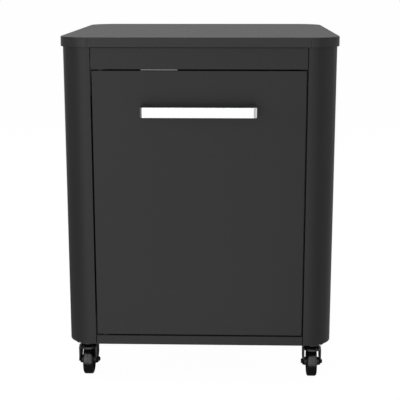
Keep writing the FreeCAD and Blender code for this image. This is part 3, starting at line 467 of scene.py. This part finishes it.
def moulded(name, colour, roughness, specular):
    """Injection-moulded plastic with a fine spark texture and faint flow lines."""
    material, tree, shader = new_material(name)
    spark = grain(tree, MOULD_SPARK)
    flow = grain(tree, MOULD_FLOW, detail=3.0)
    tree.links.new(mottled(tree, colour, MOULD_FLOW_SHADES, flow), shader.inputs["Base Color"])
    tree.links.new(spread(tree, spark, *roughness), shader.inputs["Roughness"])
    rolled = rolled_edge(tree, MOULD_ROLL)
    tree.links.new(relief(tree, spark, MOULD_SPARK_H, rolled), shader.inputs["Normal"])
    shader.inputs["Specular IOR Level"].default_value = specular
    return material


bracket_black = black_oxide("bracket_steel", BRACKET_BLACK, roughness=(0.38, 0.54), specular=0.30)
finish_nodes(bracket_black, "hinge_bracket_upper", "hinge_bracket_lower")
# Pins in a darker zinc plate: painted shade of the hinge gap.
finish_nodes(zinc_plate("pin_steel_painted_shade", shade(PLATED_STEEL, PIN_PAINTED_SHADE)), "hinge_pins")
nylon = moulded("moulded_nylon", NYLON_BLACK, roughness=(0.46, 0.56), specular=0.25)
finish_nodes(nylon, "door_bushes")

# Magnetic catch: a nylon housing screwed up under the fascia's flange holds a ferrite magnet, which
# pulls on a zinc-plated strike riveted to the back of the door.
FERRITE_GREY = (0.10, 0.10, 0.10)
finish_nodes(nylon, "catch_housing")
finish_nodes(black_oxide("magnet", FERRITE_GREY, roughness=(0.43, 0.59)), "catch_magnet")
finish_nodes(bright_zinc, "catch_screws", "strike_plate")

# Handle: one strip of stainless steel bent to a bow and polished along its length, its inside faces
# left dull from the mill and painted dark, as painted shade and a painted reflection of the dark door.
# Two screws from inside the door hold it through a black strip.
HANDLE_STEEL = (0.985, 0.985, 0.988)
HANDLE_STRIP_T = 0.0040
HANDLE_ROUGHNESS = (0.07, 0.14)
HANDLE_ROLL = 0.0006
HAIRLINE = 0.0005
HAIRLINE_H = 0.0000015
HAIRLINE_DRAW = (0.03, 0.03, 1.0)
HAIRLINE_SHADES = (0.985, 1.0)
SMEAR = 0.03
SMEAR_SHADE = 0.98
SMEAR_SHARE = 0.5
# Dark grey painted on the bow's inside faces, as painted shade and a painted reflection of the door.
BOW_INSIDE_PAINTED_DARK = (0.07, 0.07, 0.07)
MILL_DULLING = 0.35
BOW_INSIDE_EDGE = (0.0001, 0.0004)


def inside_of_bow(tree, low, high):
    """1 on the faces that look into the bow and at the door, painted dark as shade, 0 on the polished ones.
    """
    place = tree.nodes.new("ShaderNodeTexCoord")
    split = tree.nodes.new("ShaderNodeSeparateXYZ")
    tree.links.new(place.outputs["Object"], split.inputs[0])
    leg = (high.x - low.x) / 2.0 - HANDLE_STRIP_T
    grip = low.y + HANDLE_STRIP_T
    edge_start, edge_end = BOW_INSIDE_EDGE
    across = node_math(tree, "ABSOLUTE", split.outputs["X"])
    between_legs = spread(tree, across, 1.0, 0.0, leg + edge_start, leg + edge_end)
    behind_grip = spread(tree, split.outputs["Y"], 0.0, 1.0, grip - edge_end, grip - edge_start)
    return node_math(tree, "MULTIPLY", between_legs, behind_grip)


def polished_strip(name, colour, low, high):
    """Polished stainless steel: near mirror, with hairlines along the strip, a few faint smears and painted
    shade inside the bow.
    """
    material, tree, shader = new_material(name)
    hairlines = grain(tree, HAIRLINE, detail=3.0, along=HAIRLINE_DRAW)
    smears = grain(tree, SMEAR, detail=3.0)
    inside = inside_of_bow(tree, low, high)
    lined = mottled(tree, colour, HAIRLINE_SHADES, hairlines)
    smeared = between(tree, lined, shade(colour, SMEAR_SHADE), spread(tree, smears, 0.0, SMEAR_SHARE))
    # The faces inside the bow are painted dark: painted shade and a painted reflection of the dark door.
    tree.links.new(between(tree, smeared, BOW_INSIDE_PAINTED_DARK, inside), shader.inputs["Base Color"])
    polish = spread(tree, smears, *HANDLE_ROUGHNESS)
    tree.links.new(node_math(tree, "MULTIPLY_ADD", inside, MILL_DULLING, polish), shader.inputs["Roughness"])
    rolled = rolled_edge(tree, HANDLE_ROLL)
    tree.links.new(relief(tree, hairlines, HAIRLINE_H, rolled), shader.inputs["Normal"])
    shader.inputs["Metallic"].default_value = 1.0
    return material


finish_nodes(polished_strip("polished_handle", HANDLE_STEEL, *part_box("handle")), "handle")
finish_nodes(bracket_black, "handle_backer")
finish_nodes(bright_zinc, "handle_screws")

# Caster tops: a square plate held up under each corner pad by plated bolts, a pressed ball race,
# and a pressed fork riveted under it with a kingpin, all dipped in gloss black. A blackened bolt
# through the fork is the wheel's axle.
CASTER_CORNERS = ("front_left", "front_right", "rear_left", "rear_right")
DIP_BLACK = (0.0020, 0.0020, 0.0020)
DIP_DUST = 0.011
DIP_DUST_SHADES = (1.0, 2.2)
DIP_WAVE = 0.005
DIP_WAVE_H = 0.00006
DIP_ROLL = 0.0007
# Edges greyed for wear and as a painted sheen.
DIP_WORN_SHEEN_GREY = (0.05, 0.05, 0.05)
DIP_WORN_SHEEN_SHARE = 0.4
AXLE_BLACK = (0.006, 0.006, 0.006)


def gloss_dip(name, colour, roughness, specular):
    """Thin dipped gloss black on pressed steel: wavy, with dull dusty patches and edges greyed by wear and
    painted sheen.
    """
    material, tree, shader = new_material(name)
    wave = grain(tree, DIP_WAVE)
    dust = grain(tree, DIP_DUST, detail=4.0)
    rolled = rolled_edge(tree, DIP_ROLL)
    dusty = mottled(tree, colour, DIP_DUST_SHADES, dust)
    worn_and_sheened = between(tree, dusty, DIP_WORN_SHEEN_GREY, edge_wear_and_sheen(tree, rolled, DIP_WORN_SHEEN_SHARE, dust))
    tree.links.new(worn_and_sheened, shader.inputs["Base Color"])
    tree.links.new(spread(tree, dust, *roughness), shader.inputs["Roughness"])
    tree.links.new(relief(tree, wave, DIP_WAVE_H, rolled), shader.inputs["Normal"])
    shader.inputs["Specular IOR Level"].default_value = specular
    return material


gloss_black = gloss_dip("caster_black_steel", DIP_BLACK, roughness=(0.14, 0.30), specular=0.8)
axle_black = black_oxide("axle_steel", AXLE_BLACK, roughness=(0.23, 0.39))
for corner in CASTER_CORNERS:
    finish_nodes(gloss_black, "caster_plate_" + corner, "caster_race_" + corner)
    finish_nodes(gloss_black, "caster_kingpin_" + corner, "caster_fork_" + corner)
    finish_nodes(axle_black, "caster_axle_" + corner)
finish_nodes(bright_zinc, "caster_bolts")

# Caster wheels: a black rubber tyre moulded on a nylon centre that runs on the axle bolt. The tyre
# has round shoulders, a fine mould line round its middle and a groove in each side; the centre has
# a rim, a thin web with ribs on both sides, and a boss that fills the fork.
TREAD_BLACK = (0.004, 0.004, 0.004)
TYRE_WALL = 0.0085
TYRE_SHOULDER = 0.0050
MOULD_LINE_H = 0.0002
MOULD_LINE_HALF_W = 0.0004
MOULD_LINE_FLARE = 1.6
SIDE_GROOVE_DEPTH = 0.0006
SIDE_GROOVE_FROM_BORE = 0.0009
SIDE_GROOVE_W = 0.0014
SHOULDER_STEPS = 8
WHEEL_STEPS = 96
HUB_GREY = (0.035, 0.035, 0.035)
RIM_HALF_W = 0.0100
RIM_WALL = 0.0035
RIM_ROUND = 0.0008
WEB_HALF_T = 0.0030
WEB_ROUND = 0.0012
BOSS_R = 0.0105
BORE_R = 0.00405
RIB_COUNT = 6
RIB_T = 0.0018
RIB_H = 0.0085
RIB_DIP = 0.0025
RIB_SINK = 0.0002


def turned(outline, middle):
    """Corners and faces of a ring: a closed outline of (across, radius) points turned about an X axle."""
    corners, faces = [], []
    count = len(outline)
    for step, (cosine, sine) in enumerate(circle(WHEEL_STEPS)):
        for across, radius in outline:
            corners.append((middle.x + across, middle.y + radius * cosine, middle.z + radius * sine))
        here, beside = step * count, (step + 1) % WHEEL_STEPS * count
        for point in range(count):
            after = (point + 1) % count
            faces.append((here + point, here + after, beside + after, beside + point))
    return corners, faces


def both_sides(half):
    """Whole outline from its right half, which runs from the middle outwards and in again."""
    return half + [(-across, radius) for across, radius in reversed(half) if across > 0.0]


def tyre_outline(half_w, radius):
    """Section of the tyre: crown with its mould line, shoulder, side with its groove, and bore."""
    tread = radius - MOULD_LINE_H
    bore = radius - TYRE_WALL
    half = [(0.0, radius), (MOULD_LINE_HALF_W, radius), (MOULD_LINE_FLARE * MOULD_LINE_HALF_W, tread)]
    for step in range(SHOULDER_STEPS + 1):
        turn = math.pi / 2.0 * step / SHOULDER_STEPS
        half.append((half_w - TYRE_SHOULDER * (1.0 - math.sin(turn)),
                     tread - TYRE_SHOULDER * (1.0 - math.cos(turn))))
    groove_in = bore + SIDE_GROOVE_FROM_BORE
    groove_out = groove_in + SIDE_GROOVE_W
    half += [(half_w, groove_out), (half_w - SIDE_GROOVE_DEPTH, groove_out - SIDE_GROOVE_DEPTH / 2.0),
             (half_w - SIDE_GROOVE_DEPTH, groove_in + SIDE_GROOVE_DEPTH / 2.0), (half_w, groove_in),
             (half_w, bore), (0.0, bore)]
    return both_sides(half)


def centre_outline(boss_half_l, outer_r):
    """Section of the wheel centre: rim, web and boss, with their inner corners eased."""
    rim_in = outer_r - RIM_WALL
    half = [(0.0, outer_r), (RIM_HALF_W - RIM_ROUND, outer_r), (RIM_HALF_W, outer_r - RIM_ROUND),
            (RIM_HALF_W, rim_in + RIM_ROUND), (RIM_HALF_W - RIM_ROUND, rim_in),
            (WEB_HALF_T + WEB_ROUND, rim_in), (WEB_HALF_T, rim_in - WEB_ROUND),
            (WEB_HALF_T, BOSS_R + WEB_ROUND), (WEB_HALF_T + WEB_ROUND, BOSS_R),
            (boss_half_l - RIM_ROUND, BOSS_R), (boss_half_l, BOSS_R - RIM_ROUND),
            (boss_half_l, BORE_R), (0.0, BORE_R)]
    return both_sides(half)


def add_ribs(corners, faces, middle, outer_r):
    """Radial ribs on both sides of the web, a little lower halfway along."""
    start, end = BOSS_R - RIB_SINK, outer_r - RIM_WALL + RIB_SINK
    halfway = (start + end) / 2.0
    skin = ((start, RIB_H), (halfway, RIB_H - RIB_DIP), (end, RIB_H))
    root = WEB_HALF_T - RIB_SINK
    flank = 2 * len(skin)
    for side in (-1.0, 1.0):
        for rib in range(RIB_COUNT):
            turn = 2.0 * math.pi * (rib + 0.5) / RIB_COUNT
            out = Vector((0.0, math.cos(turn), math.sin(turn)))
            over = Vector((0.0, -math.sin(turn), math.cos(turn))) * RIB_T / 2.0
            first = len(corners)
            for edge in (-1.0, 1.0):
                for reach, height in skin:
                    foot = middle + out * reach + over * edge
                    corners.append(foot + Vector((side * root, 0.0, 0.0)))
                    corners.append(foot + Vector((side * height, 0.0, 0.0)))
            for step in range(0, flank - 2, 2):
                near, far = first + step, first + flank + step
                faces.extend([(near, near + 1, near + 3, near + 2), (far, far + 1, far + 3, far + 2),
                              (near + 1, near + 3, far + 3, far + 1), (near, near + 2, far + 2, far)])
            for end_step in (0, flank - 2):
                near, far = first + end_step, first + flank + end_step
                faces.append((near, near + 1, far + 1, far))


tread_rubber = rubber("caster_tread", TREAD_BLACK, roughness=(0.14, 0.28), specular=0.9, skin_height=0.00003)
centre_nylon = moulded("caster_hub_plastic", HUB_GREY, roughness=(0.30, 0.40), specular=0.5)
for corner in CASTER_CORNERS:
    low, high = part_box("caster_tyre_" + corner)
    middle = (low + high) / 2.0
    tyre_r = (high.z - low.z) / 2.0
    centre_r = tyre_r - TYRE_WALL
    corners, faces = turned(tyre_outline((high.x - low.x) / 2.0, tyre_r), middle)
    tyre = smooth_piece("wheel_tyre_" + corner, corners, faces, tread_rubber)
    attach(tyre, "wheel_" + corner)
    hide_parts("caster_tyre_" + corner)
    low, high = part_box("caster_hub_" + corner)
    corners, faces = turned(centre_outline((high.x - low.x) / 2.0, centre_r), middle)
    add_ribs(corners, faces, middle, centre_r)
    centre = smooth_piece("wheel_centre_" + corner, corners, faces, centre_nylon)
    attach(centre, "wheel_" + corner)
    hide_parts("caster_hub_" + corner)

# Studio: a seamless white floor and surround with seven soft lamps. Paint and polished steel mirror
# its walls bright in front, dark to the left and mid grey to the right and behind.
scene = bpy.context.scene
scene.view_settings.view_transform = "Standard"
FLOOR_HALF = 14.0
FLOOR_PALE = 0.80
FLOOR_GLOW_SHARE = 0.96
LAMP_AIM = (0.0, 0.0, 0.45)
# White is the level that the camera sees, felt the part of the mirrored level that lights softly.
FLOOR_WHITE = 1.02
FLOOR_FELT = 0.95
SKY_WHITE = 0.99
SKY_FELT = 0.60
# The floor under the cart has a painted shadow, mirrored in the paint and felt as soft light, fading to full
# brightness past each edge.
UNDER_CART_PAINTED_SHADOW = 0.05
CART_EDGE_X = (0.33, 0.42)
CART_EDGE_FRONT = (-0.46, -0.34)
CART_EDGE_REAR = (0.34, 0.44)
# Brightness of the walls, by degrees round from the front and positive to the right, and the spot on
# the floor from which the floor carries them on.
WALLS = ((-180, 0.54), (-150, 0.60), (-118, 0.20), (-75, 0.13), (-42, 0.26), (-24, 1.12), (0, 1.05),
         (9, 0.98), (26, 0.45), (60, 0.40), (88, 0.46), (120, 0.42), (150, 0.46), (180, 0.54))
WALLS_FROM = (0.10, 0.35, 0.0)


def fade(tree, value, edges, before, after):
    """Smooth step of a value between two edges, from one level to another."""
    step = spread(tree, value, before, after, *edges)
    step.node.interpolation_type = "SMOOTHSTEP"
    return step


def studio_walls(tree, direction):
    """Brightness of the surround by the way it lies from the cart, as listed in WALLS."""
    split = tree.nodes.new("ShaderNodeSeparateXYZ")
    tree.links.new(direction, split.inputs[0])
    to_front = node_math(tree, "MULTIPLY", split.outputs["Y"], -1.0)
    turn = node_math(tree, "ARCTAN2", split.outputs["X"], to_front)
    ramp = tree.nodes.new("ShaderNodeValToRGB")
    tree.links.new(spread(tree, turn, 0.0, 1.0, -math.pi, math.pi), ramp.inputs[0])
    stops = ramp.color_ramp.elements
    stops.remove(stops[1])
    for index, (degrees, level) in enumerate(WALLS):
        place = degrees / 360.0 + 0.5
        stop = stops[0] if index == 0 else stops.new(place)
        stop.position = place
        stop.color = (level, level, level, 1.0)
    return ramp.outputs["Color"]


def painted_cart_shadow(tree, place):
    """Brightness of the floor as the paint mirrors it and as soft light: a painted shadow under the cart,
    full outside it.
    """
    split = tree.nodes.new("ShaderNodeSeparateXYZ")
    tree.links.new(place, split.inputs[0])
    beside = fade(tree, node_math(tree, "ABSOLUTE", split.outputs["X"]), CART_EDGE_X, UNDER_CART_PAINTED_SHADOW, 1.0)
    before = fade(tree, split.outputs["Y"], CART_EDGE_FRONT, 1.0, UNDER_CART_PAINTED_SHADOW)
    behind = fade(tree, split.outputs["Y"], CART_EDGE_REAR, UNDER_CART_PAINTED_SHADOW, 1.0)
    return node_math(tree, "MAXIMUM", beside, node_math(tree, "MAXIMUM", before, behind))


def as_seen(tree, mirrored, plain, felt_share):
    """Brightness by kind of ray: plain to the camera, mirrored in paint, part of it as soft light."""
    path = tree.nodes.new("ShaderNodeLightPath")
    clear_view = node_math(tree, "MAXIMUM", path.outputs["Is Camera Ray"],
                           path.outputs["Is Transmission Ray"])
    share = node_math(tree, "MAXIMUM", path.outputs["Is Glossy Ray"], felt_share)
    return node_math(tree, "MAXIMUM", node_math(tree, "MULTIPLY", clear_view, plain),
                     node_math(tree, "MULTIPLY", mirrored, share))


world = bpy.data.worlds.new("studio_surround")
scene.world = world
world.use_nodes = True
surround = world.node_tree
surround.nodes.clear()
way = surround.nodes.new("ShaderNodeTexCoord")
sky = surround.nodes.new("ShaderNodeBackground")
sky.inputs["Color"].default_value = (1.0, 1.0, 1.0, 1.0)
surround_output = surround.nodes.new("ShaderNodeOutputWorld")
sky_walls = studio_walls(surround, way.outputs["Generated"])
surround.links.new(as_seen(surround, sky_walls, SKY_WHITE, SKY_FELT), sky.inputs["Strength"])
surround.links.new(sky.outputs[0], surround_output.inputs["Surface"])

floor_mesh = bpy.data.meshes.new("studio_floor")
floor_corners = [(-FLOOR_HALF, -FLOOR_HALF, 0.0), (FLOOR_HALF, -FLOOR_HALF, 0.0),
                 (FLOOR_HALF, FLOOR_HALF, 0.0), (-FLOOR_HALF, FLOOR_HALF, 0.0)]
floor_mesh.from_pydata(floor_corners, [], [(0, 1, 2, 3)])
floor = bpy.data.objects.new("studio_floor", floor_mesh)
scene.collection.objects.link(floor)
floor_material = bpy.data.materials.new("studio_floor")
floor_material.use_nodes = True
floor_tree = floor_material.node_tree
floor_tree.nodes.clear()
spot = floor_tree.nodes.new("ShaderNodeTexCoord")
outward = vector_math(floor_tree, "SUBTRACT", spot.outputs["Object"], WALLS_FROM)["Vector"]
heading = vector_math(floor_tree, "NORMALIZE", outward)["Vector"]
# The floor carries a painted shadow under the cart, in the paint's mirror and in its soft light.
floor_mirrored = node_math(floor_tree, "MULTIPLY", studio_walls(floor_tree, heading),
                           painted_cart_shadow(floor_tree, spot.outputs["Object"]))
matt = floor_tree.nodes.new("ShaderNodeBsdfDiffuse")
matt.inputs["Color"].default_value = (FLOOR_PALE, FLOOR_PALE, FLOOR_PALE, 1.0)
glow = floor_tree.nodes.new("ShaderNodeEmission")
floor_tree.links.new(as_seen(floor_tree, floor_mirrored, FLOOR_WHITE, FLOOR_FELT), glow.inputs["Strength"])
pale = floor_tree.nodes.new("ShaderNodeMixShader")
pale.inputs["Fac"].default_value = FLOOR_GLOW_SHARE
floor_output = floor_tree.nodes.new("ShaderNodeOutputMaterial")
floor_tree.links.new(matt.outputs[0], pale.inputs[1])
floor_tree.links.new(glow.outputs[0], pale.inputs[2])
floor_tree.links.new(pale.outputs[0], floor_output.inputs["Surface"])
floor_mesh.materials.append(floor_material)


def softbox(name, place, size, watts, mirrored):
    """Rectangular soft light that looks at the middle of the cart, and shows in the paint or doesn't."""
    lamp = bpy.data.lights.new(name, "AREA")
    lamp.shape = "RECTANGLE"
    lamp.size, lamp.size_y = size
    lamp.energy = watts
    stand = bpy.data.objects.new(name, lamp)
    scene.collection.objects.link(stand)
    stand.location = place
    stand.rotation_euler = (Vector(LAMP_AIM) - Vector(place)).to_track_quat("-Z", "Y").to_euler()
    stand.visible_glossy = mirrored


softbox("overhead", place=(0.0, 0.3, 3.4), size=(3.0, 3.0), watts=55.0, mirrored=True)
softbox("key", place=(-2.0, -3.4, 1.0), size=(1.8, 1.8), watts=10.0, mirrored=True)
softbox("fill", place=(3.6, -1.3, 1.2), size=(1.8, 2.4), watts=5.5, mirrored=True)
softbox("front", place=(-0.4, -4.4, 0.8), size=(2.4, 1.4), watts=32.0, mirrored=False)
softbox("left", place=(-3.3, -0.9, 1.3), size=(2.0, 1.8), watts=85.0, mirrored=False)
softbox("left_back", place=(-3.2, 1.9, 1.3), size=(2.0, 1.8), watts=30.0, mirrored=False)
softbox("right_back", place=(3.2, 1.9, 1.3), size=(2.0, 1.8), watts=50.0, mirrored=False)

# Camera: a long lens 2.7 m in front of the cart's middle and a little above its worktop, slightly
# to the right, turned a touch to the left and looking down. Its angles are in radians.
EYE = (0.0769, -2.6980, 0.9910)
TURN_LEFT = 0.0312
LOOK_DOWN = 0.2164
ROLL = -0.0011
FOCAL_PX = 1024.8
FRAME_PX = 400.0
SENSOR_MM = 36.0
SEES_AS_FAR_AS = 100.0
lens = bpy.data.cameras.new("camera")
lens.sensor_width = SENSOR_MM
lens.lens = FOCAL_PX / FRAME_PX * SENSOR_MM
lens.clip_end = SEES_AS_FAR_AS
camera = bpy.data.objects.new("camera", lens)
scene.collection.objects.link(camera)
look = Matrix.Rotation(TURN_LEFT, 4, "Z") @ Matrix.Rotation(math.pi / 2 - LOOK_DOWN, 4, "X")
camera.matrix_world = Matrix.Translation(EYE) @ look @ Matrix.Rotation(ROLL, 4, "Z")
scene.camera = camera
